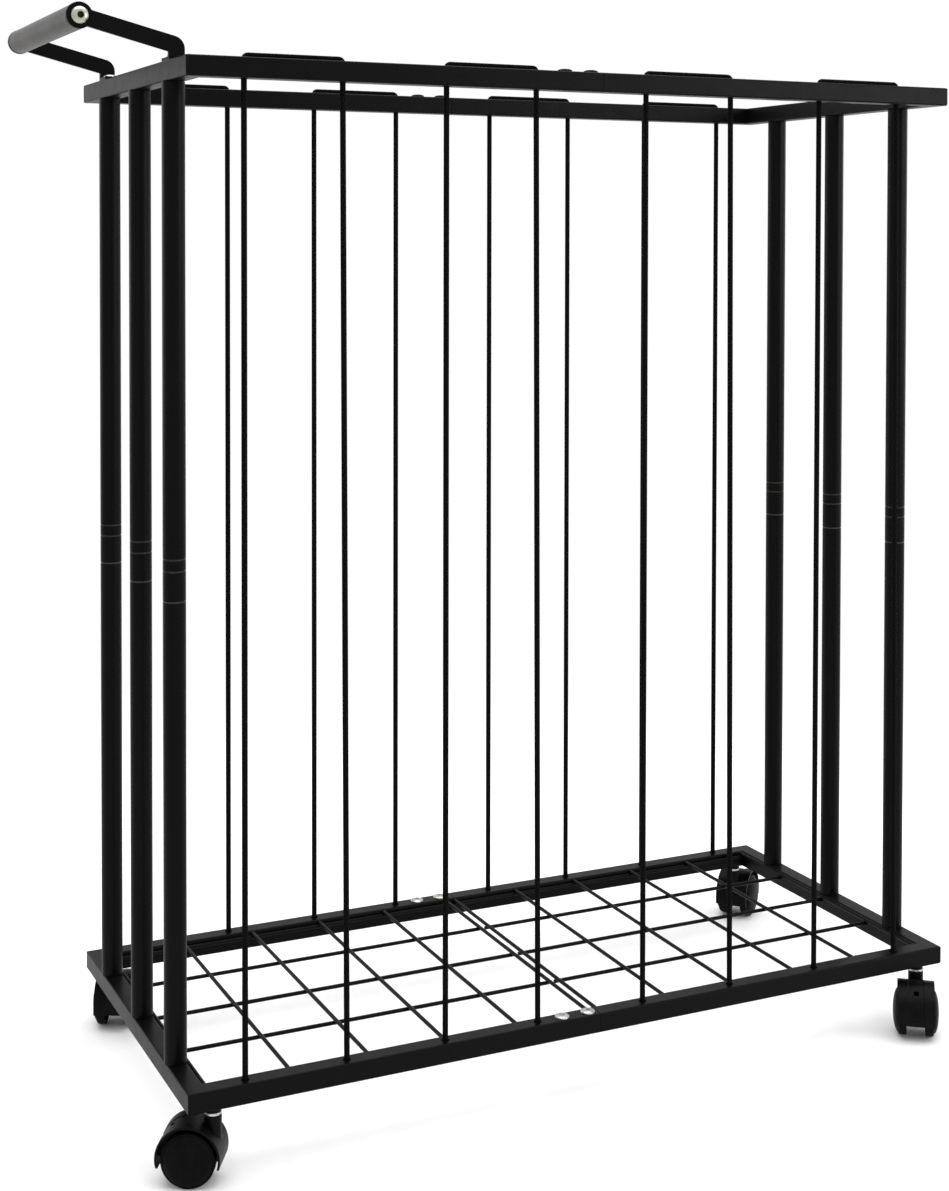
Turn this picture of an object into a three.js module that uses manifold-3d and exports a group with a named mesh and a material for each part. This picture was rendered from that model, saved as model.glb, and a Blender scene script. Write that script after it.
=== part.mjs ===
// Rolling ball cart: a black steel frame in two bolted halves, three end posts on each side, a wire
// floor, long sides closed by elastic cords, a slanted push handle and four twin-wheel casters.
// Millimetres. X runs along the long side away from the handle, Y from front to back, Z up.
import * as THREE from 'three';
import { mergeVertices } from 'three/addons/utils/BufferGeometryUtils.js';
import Module from 'manifold-3d';

const wasm = await Module();
wasm.setup();

// Frame
const frameLength = 838;
const frameWidth = 376;
const clearHeight = 905; // between the bottom rails and the top rails
const rideHeight = 67; // from the floor to the underside of the bottom rails
const railSize = 19; // square tube, outside
const railWall = 1.2;
const railCornerRadius = 1.8;
const railInnerRadius = 0.6;
const seamGap = 0.4; // between the two halves of a long rail

// Tongues that join the halves, and their screws
const tongueWall = 1.5;
const tongueReach = 50; // into the left half
const tongueGrip = 40; // into the right half, where it is welded
const weldSink = 0.1;
const weldRingWall = 0.8;
const screwInsets = [9.5, 38]; // from the seam
const screwThread = 6;
const screwLength = 9;
const screwHeadDiameter = 14.5;
const screwHeadHeight = 2.6;
const screwHeadRim = 0.9;
const screwCrownShare = 0.6; // flat middle of a screw head, as a share of its width
const crossReach = 3.2;
const crossWidth = 1;
const crossDepth = 1.3;

// End posts, each in a lower and an upper length that meet at a collar
const postDiameter = 21.3;
const postWall = 1.2;
const postInset = 72; // from the front or back face of the frame to the post's axis
const lowerPostLength = 456.5;
const collarHeight = 11;
const collarGroove = 0.6;
const crimpDrop = 28; // from the collar down to the crimp ring
const crimpDepth = 0.35;
const crimpHalfHeight = 0.9;
const spigotReach = 30;
const spigotWall = 1.2;

// Elastic cords
const cordDiameter = 5.5;
const cordPressedHeight = 4.4; // thickness of a cord where it is pressed on the top rail
const cordHoleDiameter = 8;
const cordEndInset = 56; // from the end of the frame to the outermost cord
const seamCordReach = { left: 64.5, right: 52.5 }; // from the seam to the nearest cord
const cordsPerHalf = 4;
const loopDraw = { front: 4.2, back: 0 }; // how much narrower a loop is at the top rail
const cordBendRadius = 4.2;
const cordStopDiameter = 10;
const cordStopHeight = 5;

// Floor grids
const wireDiameter = 4;
const crossWirePitch = 78;
const seamWireInset = 5.3;
const longWireCount = 5;
const wireLap = 0.4; // depth of the weld where two wires cross
const wireDrop = 0.2; // from the top face of the rails to the top of the cross wires

// Handle
const armWidth = 15.1;
const armThickness = 4;
const armReach = 88.8; // from the middle of the rail out to the grip's axis
const armRise = 36; // from the top of the rail up to the grip's axis
const armSlope = THREE.MathUtils.degToRad(14.2);
const armElbowRadius = 12;
const armEyeDiameter = 24;
const tabReach = 24;
const tabThickness = 3;
const gripDiameter = 23.5;
const gripWall = 1.5;
const gripPlugLength = 8;
const gripBoltDiameter = 8;
const gripBoltHeadDiameter = 15.8;
const gripBoltHeadHeight = 4.4;
const gripBoltHeadRim = 1.2;
const gripBoltSocket = 5; // across flats
const gripBoltSocketDepth = 2.6;
const tabBoltDiameter = 6;
const tabBoltLength = 14;
const tabBoltHeadDiameter = 12;
const tabBoltHeadHeight = 2.8;
const tabBoltSocket = 4;
const tabBoltSocketDepth = 1.6;
const nutDiameter = 13;
const nutHeight = 7;
const nutSink = 0.2;

// Casters
const casterInset = 26; // from the end of the frame to the stem
const wheelDiameter = 50;
const wheelTrail = 19.5; // from the stem out to the axle
const wheelInnerFace = 10; // from the middle of the caster to a wheel's inner face
const wheelOuterFace = 24;
const wheelTreadChamfer = 2;
const wheelRimDrop = 5.2; // from the middle of the domed face to its edge
const wheelDomeRadii = [10, 18];
const wheelDomeDrops = [0.5, 2.2];
const axleDiameter = 6;
const axleHalfLength = 21;
const axleEndGap = 0.5;
const hoodOuterRadius = 29.8;
const hoodInnerRadius = 27.8;
const hoodLift = 1.4; // from the axle up to the middle of the hood's arch
const hoodHalfWidth = 19.2;
const hoodTipAngle = THREE.MathUtils.degToRad(15.5); // how far the hood comes down past the axle
const webHalfWidth = 9.3;
const webHubRadius = 9;
const webSink = 0.5;
const socketDiameter = 16;
const socketFoot = 30; // height of the socket's foot above the floor
const socketTop = 61;
const stemBoreFloor = 38;
const stemDiameter = 8;
const stemCollarDiameter = 15.6;
const stemCollarHeight = 2.6;
const stemNutDiameter = 15; // between the collar and the rail
const stemEntry = 9; // length of stem inside the rail
const casterHeadings = { front_left: 150.5, front_right: 232.8, back_left: 64.4, back_right: 40 };

// Clearances and cutting allowances
const fitGap = 0.3;
const overrun = 1;
const weldDistance = 1e-4;

// How finely the round shapes are cut
const postSides = 12;
const wheelSides = 20;
const rodSides = 10;
const cordSides = 8;
const wireSides = 6;
const holeSides = 8;
const hoodSteps = 10;
const armSteps = 14;
const hexSides = 6;
const cornerSteps = 2;
const bendSteps = 3;

// Places that follow from the sizes
const railMiddle = railSize / 2;
const bottomRailTop = rideHeight + railSize;
const topRailBase = bottomRailTop + clearHeight;
const topRailTop = topRailBase + railSize;
const seamX = frameLength / 2;
const wheelRadius = wheelDiameter / 2;
const postRadius = postDiameter / 2;
const cordRadius = cordDiameter / 2;
const sideRows = { front: railMiddle, back: frameWidth - railMiddle };
const postRows = { front: postInset, middle: frameWidth / 2, back: frameWidth - postInset };
const postColumns = { left: railMiddle, right: frameLength - railMiddle };
const cordPitch = (side) => (seamX - seamCordReach[side] - cordEndInset) / (cordsPerHalf - 1);
const cordPlaces = {
  left: [...Array(cordsPerHalf)].map((_, i) => cordEndInset + i * cordPitch('left')),
  right: [...Array(cordsPerHalf)].map(
    (_, i) => seamX + seamCordReach.right + i * cordPitch('right'),
  ),
};

const blackPaint = { color: 0x1c1b1a, roughness: 0.5, metalness: 0.25 };
const blackPlastic = { color: 0x151515, roughness: 0.42, metalness: 0 };
const blackCord = { color: 0x0e0e0e, roughness: 0.85, metalness: 0 };
const brightSteel = { color: 0xc9c9c6, roughness: 0.28, metalness: 0.95 };
const satinAluminium = { color: 0xa3a09b, roughness: 0.45, metalness: 0.6 };

const cart = new THREE.Group();

function addPiece(parent, name, geometry, finish) {
  const piece = new THREE.Mesh(geometry, new THREE.MeshStandardMaterial(finish));
  piece.name = name;
  parent.add(piece);
  return piece;
}

// Turns every face outwards, so that a shape drawn either way round is a solid.
function facingOut(geometry) {
  const position = geometry.attributes.position;
  const order = geometry.index ? [...geometry.index.array] : [...Array(position.count).keys()];
  const corner = (i) => new THREE.Vector3().fromBufferAttribute(position, order[i]);
  let volume = 0;
  for (let i = 0; i < order.length; i += 3) {
    volume += corner(i).dot(corner(i + 1).cross(corner(i + 2)));
  }
  if (volume < 0) {
    for (let i = 0; i < order.length; i += 3) {
      [order[i], order[i + 1]] = [order[i + 1], order[i]];
    }
  }
  geometry.setIndex(order);
  return geometry;
}

function toSolid(geometry) {
  const bare = new THREE.BufferGeometry();
  bare.setAttribute('position', geometry.attributes.position);
  bare.setIndex(geometry.index);
  const joined = mergeVertices(facingOut(bare), weldDistance);
  const triangles = [];
  for (let i = 0; i < joined.index.count; i += 3) {
    const [a, b, c] = [0, 1, 2].map((k) => joined.index.getX(i + k));
    if (a !== b && b !== c && c !== a) triangles.push(a, b, c);
  }
  return new wasm.Manifold(
    new wasm.Mesh({
      numProp: 3,
      vertProperties: new Float32Array(joined.attributes.position.array),
      triVerts: new Uint32Array(triangles),
    }),
  );
}

function toGeometry(solid) {
  const mesh = solid.getMesh();
  const geometry = new THREE.BufferGeometry();
  geometry.setAttribute('position', new THREE.BufferAttribute(mesh.vertProperties, 3));
  geometry.setIndex(new THREE.BufferAttribute(mesh.triVerts, 1));
  geometry.computeVertexNormals();
  return geometry;
}

// Joins some shapes to the first one and cuts others out of it.
function carve(base, { joins = [], cuts = [] }) {
  let solid = toSolid(base);
  for (const join of joins) solid = solid.add(toSolid(join));
  for (const cut of cuts) solid = solid.subtract(toSolid(cut));
  return toGeometry(solid);
}

// Skins a list of equal rings. A looped list closes on its first ring, any other gets end caps.
function skinRings(rings, looped) {
  const count = rings[0].length;
  const faces = [];
  const strips = looped ? rings.length : rings.length - 1;
  for (let i = 0; i < strips; i++) {
    const here = i * count;
    const next = ((i + 1) % rings.length) * count;
    for (let j = 0; j < count; j++) {
      const k = (j + 1) % count;
      faces.push(here + j, next + j, next + k, here + j, next + k, here + k);
    }
  }
  const end = (rings.length - 1) * count;
  for (let j = 1; !looped && j < count - 1; j++) {
    faces.push(0, j, j + 1, end, end + j + 1, end + j);
  }
  const geometry = new THREE.BufferGeometry().setFromPoints(rings.flat());
  geometry.setIndex(faces);
  return facingOut(geometry);
}

// Turns a profile of [radius, height] points round the Z axis.
function turned(profile, sides) {
  const points = profile.map(([radius, height]) => new THREE.Vector2(radius, height));
  const geometry = new THREE.LatheGeometry(points, sides).rotateX(Math.PI / 2);
  return facingOut(geometry);
}

// A rod along Z, whose flats are at the given radius.
function rodZ(radius, fromZ, toZ, x, y, sides) {
  const corner = radius / Math.cos(Math.PI / sides);
  const rod = new THREE.CylinderGeometry(corner, corner, toZ - fromZ, sides);
  return rod.rotateX(Math.PI / 2).translate(x, y, (fromZ + toZ) / 2);
}

// A rod along Y, whose flats are at the given radius.
function rodY(radius, fromY, toY, x, z, sides) {
  const corner = radius / Math.cos(Math.PI / sides);
  const rod = new THREE.CylinderGeometry(corner, corner, toY - fromY, sides);
  return rod.translate(x, (fromY + toY) / 2, z);
}

function roundedSquare(size, radius) {
  const points = [];
  for (let quarter = 0; quarter < 4; quarter++) {
    for (let step = 0; step <= cornerSteps; step++) {
      const middle = ((quarter + 0.5) * Math.PI) / 2;
      const turn = ((quarter + step / cornerSteps) * Math.PI) / 2;
      const reach = (size / 2 - radius) * Math.SQRT2;
      points.push([
        reach * Math.cos(middle) + radius * Math.cos(turn),
        reach * Math.sin(middle) + radius * Math.sin(turn),
      ]);
    }
  }
  return points;
}

function sideways(from, to) {
  const along = to.clone().sub(from).normalize();
  return new THREE.Vector2(-along.y, along.x);
}

// Square tube along a line of corner points, with mitred corners and open ends.
function squareTube(corners, middleZ, outerSize, outerRadius, innerSize, innerRadius) {
  const across = corners.map((corner, i) => {
    const before = i > 0 ? sideways(corners[i - 1], corner) : null;
    const after = i < corners.length - 1 ? sideways(corner, corners[i + 1]) : null;
    if (!before || !after) return before || after;
    return before.clone().add(after).divideScalar(1 + before.dot(after));
  });
  const ring = (profile) => (corner, i) =>
    profile.map(
      ([out, up]) =>
        new THREE.Vector3(corner.x + across[i].x * out, corner.y + across[i].y * out, middleZ + up),
    );
  const outside = corners.map(ring(roundedSquare(outerSize, outerRadius)));
  const inside = corners.map(ring(roundedSquare(innerSize, innerRadius))).reverse();
  return skinRings([...outside, ...inside], true);
}

function straightTube(fromX, toX, y, middleZ, outerSize, innerSize) {
  const ends = [new THREE.Vector2(fromX, y), new THREE.Vector2(toX, y)];
  return squareTube(ends, middleZ, outerSize, railInnerRadius, innerSize, railInnerRadius);
}

// The tongue inside a long rail: a sliding sleeve, with a ring where it is welded to the right half.
function tongueShapes(y, baseZ) {
  const bore = railSize - 2 * railWall;
  const sleeve = bore - 2 * fitGap;
  const middleZ = baseZ + railMiddle;
  const weldRing = bore + 2 * weldSink;
  const start = seamX - tongueReach;
  const end = seamX + tongueGrip;
  return [
    straightTube(start, end, y, middleZ, sleeve, sleeve - 2 * tongueWall),
    straightTube(seamX + seamGap, end, y, middleZ, weldRing, weldRing - 2 * weldRingWall),
  ];
}

function makeFrameHalf(side, baseZ, details) {
  const nearEnd = side === 'left' ? seamX - seamGap / 2 : seamX + seamGap / 2;
  const corners = [
    new THREE.Vector2(nearEnd, sideRows.front),
    new THREE.Vector2(postColumns[side], sideRows.front),
    new THREE.Vector2(postColumns[side], sideRows.back),
    new THREE.Vector2(nearEnd, sideRows.back),
  ];
  const bore = railSize - 2 * railWall;
  const tube = squareTube(
    corners, baseZ + railMiddle, railSize, railCornerRadius, bore, railInnerRadius,
  );
  const topZ = baseZ + railSize;
  const cuts = [];
  const joins = [];
  for (const [row, y] of Object.entries(sideRows)) {
    const cordFoot = details.cordsPassThrough ? baseZ - overrun : topZ - railWall - overrun;
    cordPlaces[side].forEach((place, i) => {
      const x = details.cordsPassThrough ? topCordPlace(place, i, row) : place;
      cuts.push(rodZ(cordHoleDiameter / 2, cordFoot, topZ + overrun, x, y, holeSides));
    });
    const screwHole = screwThread / 2 + fitGap;
    const screwHoleFoot = topZ - railWall - fitGap - tongueWall - overrun;
    for (const inset of screwInsets) {
      cuts.push(rodZ(screwHole, screwHoleFoot, topZ + overrun, seamX - inset, y, holeSides));
    }
    if (side === 'right') joins.push(...tongueShapes(y, baseZ));
    if (details.casterNuts) {
      const x = casterColumn(side);
      const nutTop = baseZ + railWall + nutHeight;
      joins.push(rodZ(nutDiameter / 2, baseZ + railWall - nutSink, nutTop, x, y, rodSides));
      cuts.push(rodZ(stemDiameter / 2 + fitGap, baseZ - overrun, nutTop + overrun, x, y, rodSides));
    }
  }
  if (details.handleNuts) {
    for (const y of [postRows.front, postRows.back]) {
      const nutFoot = topZ - railWall - nutHeight;
      const x = postColumns[side];
      joins.push(rodZ(nutDiameter / 2, nutFoot, topZ - railWall + nutSink, x, y, rodSides));
      const hole = tabBoltDiameter / 2 + fitGap;
      cuts.push(rodZ(hole, nutFoot - overrun, topZ + overrun, x, y, holeSides));
    }
  }
  return carve(tube, { joins, cuts });
}

// Where a cord goes through the top rail: the taut loop draws its second cord in.
function topCordPlace(x, i, row) {
  return i % 2 ? x - loopDraw[row] : x;
}

function casterColumn(side) {
  return side === 'left' ? casterInset : frameLength - casterInset;
}

// Button head and shank of a screw, its seat at height zero, with a cross or hexagon recess.
function makeScrew({ head, headHeight, rim, thread, length, recess }) {
  const crown = (head / 2) * screwCrownShare;
  const profile = [
    [0, -length],
    [thread / 2, -length],
    [thread / 2, 0],
    [head / 2, 0],
    [head / 2, rim],
    [crown, headHeight],
    [0, headHeight],
  ];
  return carve(turned(profile, rodSides), { cuts: recess(headHeight) });
}

function crossRecess(headTop) {
  const middleZ = headTop + (overrun - crossDepth) / 2;
  const height = crossDepth + overrun;
  return [
    new THREE.BoxGeometry(2 * crossReach, crossWidth, height).translate(0, 0, middleZ),
    new THREE.BoxGeometry(crossWidth, 2 * crossReach, height).translate(0, 0, middleZ),
  ];
}

function hexRecess(acrossFlats, depth) {
  return (headTop) => [rodZ(acrossFlats / 2, headTop - depth, headTop + overrun, 0, 0, hexSides)];
}

function addFrames() {
  const levels = {
    bottom: { baseZ: rideHeight, details: { casterNuts: true } },
    top: { baseZ: topRailBase, details: { cordsPassThrough: true } },
  };
  for (const [level, { baseZ, details }] of Object.entries(levels)) {
    for (const side of ['left', 'right']) {
      const handleNuts = level === 'top' && side === 'left';
      const half = makeFrameHalf(side, baseZ, { ...details, handleNuts });
      addPiece(cart, `${level}_frame_${side}`, half, blackPaint);
    }
    for (const [row, y] of Object.entries(sideRows)) {
      screwInsets.forEach((inset, i) => {
        const screw = makeScrew({
          head: screwHeadDiameter,
          headHeight: screwHeadHeight,
          rim: screwHeadRim,
          thread: screwThread,
          length: screwLength,
          recess: crossRecess,
        });
        const piece = addPiece(cart, `joint_screw_${level}_${row}_${i + 1}`, screw, brightSteel);
        piece.position.set(seamX - inset, y, baseZ + railSize);
      });
    }
  }
}

// Cross wires lie on top of the long wires, and both are welded where they cross.
function makeFloorGrid(side) {
  const wireRadius = wireDiameter / 2;
  const corner = wireRadius / Math.cos(Math.PI / wireSides);
  const inward = side === 'left' ? 1 : -1;
  const railFace = side === 'left' ? railSize : frameLength - railSize;
  const edgeX = railFace + inward * (fitGap + wireRadius);
  const seamWireX = seamX - inward * seamWireInset;
  const upperZ = bottomRailTop - wireDrop - corner;
  const lowerZ = upperZ - wireDiameter + wireLap;
  const spacings = Math.floor(Math.abs(seamWireX - edgeX) / crossWirePitch);
  const crossWires = [edgeX];
  for (let i = spacings - 1; i >= 0; i--) {
    crossWires.push(seamWireX - inward * i * crossWirePitch);
  }
  const frontWireY = railSize + fitGap + wireRadius;
  const longPitch = (frameWidth - 2 * frontWireY) / (longWireCount - 1);
  const shapes = crossWires.map((x) => {
    const length = frameWidth - 2 * railSize;
    const wire = new THREE.CylinderGeometry(corner, corner, length, wireSides);
    return wire.translate(x, frameWidth / 2, upperZ);
  });
  const [wireStart, wireEnd] = [railFace, seamWireX + inward * wireRadius];
  for (let i = 0; i < longWireCount; i++) {
    const wire = new THREE.CylinderGeometry(
      corner, corner, Math.abs(wireEnd - wireStart), wireSides,
    );
    const y = frontWireY + i * longPitch;
    shapes.push(wire.rotateZ(Math.PI / 2).translate((wireStart + wireEnd) / 2, y, lowerZ));
  }
  return carve(shapes[0], { joins: shapes.slice(1) });
}

// Lower length: tube, crimp ring, fixed collar and the spigot that the upper length slides over.
function makeLowerPost() {
  const bore = postRadius - postWall;
  const spigot = bore - fitGap;
  const collarTop = lowerPostLength + collarHeight;
  const crimpZ = lowerPostLength - crimpDrop;
  return turned(
    [
      [bore, 0],
      [postRadius, 0],
      [postRadius, crimpZ - crimpHalfHeight],
      [postRadius - crimpDepth, crimpZ],
      [postRadius, crimpZ + crimpHalfHeight],
      [postRadius, lowerPostLength - collarGroove],
      [postRadius - collarGroove, lowerPostLength],
      [postRadius, lowerPostLength + collarGroove],
      [postRadius, collarTop - collarGroove],
      [postRadius - collarGroove, collarTop],
      [spigot, collarTop],
      [spigot, collarTop + spigotReach],
      [spigot - spigotWall, collarTop + spigotReach],
      [spigot - spigotWall, lowerPostLength],
      [bore, lowerPostLength - spigotWall],
      [bore, 0],
    ],
    postSides,
  );
}

function makeUpperPost() {
  const bore = postRadius - postWall;
  const length = clearHeight - lowerPostLength - collarHeight;
  return turned(
    [
      [bore, 0],
      [postRadius - collarGroove, 0],
      [postRadius, collarGroove],
      [postRadius, length],
      [bore, length],
      [bore, 0],
    ],
    postSides,
  );
}

function addPosts() {
  for (const [column, x] of Object.entries(postColumns)) {
    for (const [row, y] of Object.entries(postRows)) {
      const lower = addPiece(cart, `post_${row}_${column}_lower`, makeLowerPost(), blackPaint);
      lower.position.set(x, y, bottomRailTop);
      const upper = addPiece(cart, `post_${row}_${column}_upper`, makeUpperPost(), blackPaint);
      upper.position.set(x, y, bottomRailTop + lowerPostLength + collarHeight);
    }
  }
}

// One elastic cord: up from a stop inside the bottom rail, through the top rail, along its top face
// and down again. Every station has a place, a direction and a radius.
function makeCord(startX, endX, topEndX, y) {
  const stopTop = bottomRailTop - railWall - fitGap;
  const pressed = cordPressedHeight / 2;
  const crestZ = topRailTop + fitGap + pressed;
  const stop = cordStopDiameter / 2;
  const upward = [
    { x: 0, z: stopTop - cordStopHeight, lean: 0, radius: stop, thick: stop },
    { x: 0, z: stopTop, lean: 0, radius: stop, thick: stop },
    { x: 0, z: stopTop, lean: 0, radius: cordRadius, thick: cordRadius },
  ];
  for (let i = 0; i <= bendSteps; i++) {
    const lean = ((i / bendSteps) * Math.PI) / 2;
    upward.push({
      x: cordBendRadius * (1 - Math.cos(lean)),
      z: crestZ - cordBendRadius * (1 - Math.sin(lean)),
      lean,
      radius: cordRadius,
      thick: cordRadius + ((pressed - cordRadius) * i) / bendSteps,
    });
  }
  const ringAt = (footX, headX, way) => (station) => {
    const fromX = station.z > stopTop ? headX : footX;
    const ring = [];
    for (let i = 0; i < cordSides; i++) {
      const turn = ((i + 0.5) / cordSides) * 2 * Math.PI;
      const side = station.radius * Math.cos(turn);
      const out = station.thick * Math.sin(turn);
      const x = fromX + way * (station.x - out * Math.cos(station.lean));
      ring.push(new THREE.Vector3(x, y + side, station.z + out * Math.sin(station.lean)));
    }
    return ring;
  };
  const rise = upward.map(ringAt(startX, startX, 1));
  const fall = upward.map(ringAt(endX, topEndX, -1)).reverse();
  return skinRings([...rise, ...fall], false);
}

function addCords() {
  const places = [...cordPlaces.left, ...cordPlaces.right];
  for (const [row, y] of Object.entries(sideRows)) {
    for (let i = 0; i < places.length / 2; i++) {
      const [startX, endX] = places.slice(2 * i, 2 * i + 2);
      const cord = makeCord(startX, endX, topCordPlace(endX, 1, row), y);
      addPiece(cart, `cord_${row}_${i + 1}`, cord, blackCord);
    }
  }
}

// Side view of an arm: foot on the rail, rounded elbow, slanted bar and round eye.
function armOutline() {
  const half = armWidth / 2;
  const eyeRadius = armEyeDiameter / 2;
  const eye = new THREE.Vector2(-armReach, armRise);
  const along = new THREE.Vector2(Math.cos(armSlope), -Math.sin(armSlope));
  const above = new THREE.Vector2(Math.sin(armSlope), Math.cos(armSlope));
  const edgeAt = (offset, x) => {
    const start = eye.clone().addScaledVector(above, offset);
    return start.addScaledVector(along, (x - start.x) / along.x);
  };
  const elbow = edgeAt(half, half);
  const setback = armElbowRadius * Math.tan((Math.PI / 2 - armSlope) / 2);
  const spread = Math.asin(half / eyeRadius);
  const outline = new THREE.Shape();
  outline.moveTo(-half, 0);
  outline.lineTo(half, 0);
  outline.lineTo(half, elbow.y - setback);
  outline.absarc(
    half - armElbowRadius, elbow.y - setback, armElbowRadius, 0, Math.PI / 2 - armSlope, false,
  );
  outline.absarc(
    eye.x, eye.y, eyeRadius, spread - armSlope, 2 * Math.PI - spread - armSlope, false,
  );
  const innerCorner = edgeAt(-half, -half);
  outline.lineTo(innerCorner.x, innerCorner.y);
  outline.closePath();
  return outline;
}

// An arm with its bent tab. The arm's outer face lies at y = 0 and the tab runs towards `inward`.
function makeArm(inward) {
  const plate = new THREE.ExtrudeGeometry(armOutline(), {
    depth: armThickness,
    bevelEnabled: false,
    curveSegments: armSteps,
  }).rotateX(Math.PI / 2);
  plate.translate(0, inward > 0 ? armThickness : 0, 0);
  const tab = new THREE.BoxGeometry(armWidth, tabReach, tabThickness);
  tab.translate(0, (inward * tabReach) / 2, tabThickness / 2);
  const [low, high] = inward > 0 ? [0, armThickness] : [-armThickness, 0];
  const eyeHole = rodY(
    gripBoltDiameter / 2 + fitGap, low - overrun, high + overrun, -armReach, armRise, rodSides,
  );
  const boltHole = rodZ(
    tabBoltDiameter / 2 + fitGap,
    -overrun,
    tabThickness + overrun,
    0,
    (inward * tabReach) / 2,
    holeSides,
  );
  return carve(plate, { joins: [tab], cuts: [eyeHole, boltHole] });
}

function makeGrip(length) {
  const outer = gripDiameter / 2;
  const boltHole = gripBoltDiameter / 2 + fitGap;
  const hollow = outer - gripWall;
  return turned(
    [
      [boltHole, 0],
      [outer, 0],
      [outer, length],
      [boltHole, length],
      [boltHole, length - gripPlugLength],
      [hollow, length - gripPlugLength],
      [hollow, gripPlugLength],
      [boltHole, gripPlugLength],
      [boltHole, 0],
    ],
    postSides,
  );
}

function addHandle() {
  const handle = new THREE.Group();
  handle.position.set(railMiddle, 0, topRailTop);
  cart.add(handle);
  const frontFace = postRows.front - tabReach / 2;
  const backFace = postRows.back + tabReach / 2;
  addPiece(handle, 'handle_arm_front', makeArm(1), blackPaint).position.y = frontFace;
  addPiece(handle, 'handle_arm_back', makeArm(-1), blackPaint).position.y = backFace;

  const span = backFace - frontFace;
  const gripLength = span - 2 * armThickness;
  const grip = addPiece(handle, 'handle_grip', makeGrip(gripLength), satinAluminium);
  grip.position.set(-armReach, backFace - armThickness, armRise);
  grip.rotation.x = Math.PI / 2;

  const gripBolt = makeScrew({
    head: gripBoltHeadDiameter,
    headHeight: gripBoltHeadHeight,
    rim: gripBoltHeadRim,
    thread: gripBoltDiameter,
    length: span,
    recess: hexRecess(gripBoltSocket, gripBoltSocketDepth),
  });
  const bolt = addPiece(handle, 'handle_grip_bolt', gripBolt, brightSteel);
  bolt.position.set(-armReach, frontFace, armRise);
  bolt.rotation.x = Math.PI / 2;

  for (const row of ['front', 'back']) {
    const tabBolt = makeScrew({
      head: tabBoltHeadDiameter,
      headHeight: tabBoltHeadHeight,
      rim: screwHeadRim,
      thread: tabBoltDiameter,
      length: tabBoltLength,
      recess: hexRecess(tabBoltSocket, tabBoltSocketDepth),
    });
    const piece = addPiece(handle, `handle_tab_bolt_${row}`, tabBolt, brightSteel);
    piece.position.set(0, postRows[row], tabThickness);
  }
}

// Half of a twin wheel, turned round its axle with the domed face outwards along +Z.
function makeWheel() {
  const flat = 1 / Math.cos(Math.PI / wheelSides);
  const tread = wheelRadius * flat;
  const bore = axleDiameter / 2 + fitGap;
  const width = wheelOuterFace - wheelInnerFace;
  const boreDepth = axleHalfLength + axleEndGap - wheelInnerFace;
  const profile = [
    [0, width],
    ...wheelDomeRadii.map((radius, i) => [radius, width - wheelDomeDrops[i]]),
    [tread - wheelTreadChamfer, width - wheelRimDrop],
    [tread, width - wheelRimDrop - wheelTreadChamfer],
    [tread, 0],
    [bore, 0],
    [bore, boreDepth],
    [0, boreDepth],
  ];
  return turned(profile, wheelSides).rotateZ(Math.PI / wheelSides);
}

// The hood: arched cover, web between the wheels and socket for the stem. The stem's axis is the
// origin, the wheels trail towards +X.
function makeHood() {
  const arch = new THREE.Shape();
  const [from, to] = [-hoodTipAngle, Math.PI + hoodTipAngle];
  arch.absarc(0, hoodLift, hoodOuterRadius, from, to, false);
  arch.absarc(0, hoodLift, hoodInnerRadius, to, from, true);
  const cover = new THREE.ExtrudeGeometry(arch, {
    depth: 2 * hoodHalfWidth, bevelEnabled: false, curveSegments: hoodSteps,
  });
  const webRadius = hoodInnerRadius + webSink;
  const webShape = new THREE.Shape();
  webShape.absarc(0, hoodLift, webRadius, 0, Math.PI, false);
  webShape.lineTo(-webHubRadius, 0);
  webShape.absarc(0, 0, webHubRadius, Math.PI, 2 * Math.PI, false);
  const web = new THREE.ExtrudeGeometry(webShape, {
    depth: 2 * webHalfWidth, bevelEnabled: false, curveSegments: hoodSteps,
  });
  cover.rotateX(Math.PI / 2).translate(wheelTrail, hoodHalfWidth, wheelRadius);
  web.rotateX(Math.PI / 2).translate(wheelTrail, webHalfWidth, wheelRadius);
  const socket = rodZ(socketDiameter / 2, socketFoot, socketTop, 0, 0, rodSides);
  const stemBore = rodZ(stemDiameter / 2 + fitGap, stemBoreFloor, socketTop + overrun, 0, 0, rodSides);
  const axleBore = rodY(
    axleDiameter / 2 + fitGap, -hoodHalfWidth, hoodHalfWidth, wheelTrail, wheelRadius, rodSides,
  );
  return carve(cover, { joins: [web, socket], cuts: [stemBore, axleBore] });
}

// Stem with its collar and nut: it screws into the rail, and the hood swivels on its lower end.
function makeStem() {
  const collarFoot = socketTop + fitGap;
  const pin = stemDiameter / 2;
  const collar = stemCollarDiameter / 2;
  const profile = [
    [0, stemBoreFloor + fitGap],
    [pin, stemBoreFloor + fitGap],
    [pin, collarFoot],
    [collar, collarFoot],
    [collar, collarFoot + stemCollarHeight],
    [stemNutDiameter / 2, collarFoot + stemCollarHeight],
    [stemNutDiameter / 2, rideHeight],
    [pin, rideHeight],
    [pin, rideHeight + stemEntry],
    [0, rideHeight + stemEntry],
  ];
  return turned(profile, rodSides);
}

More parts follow.
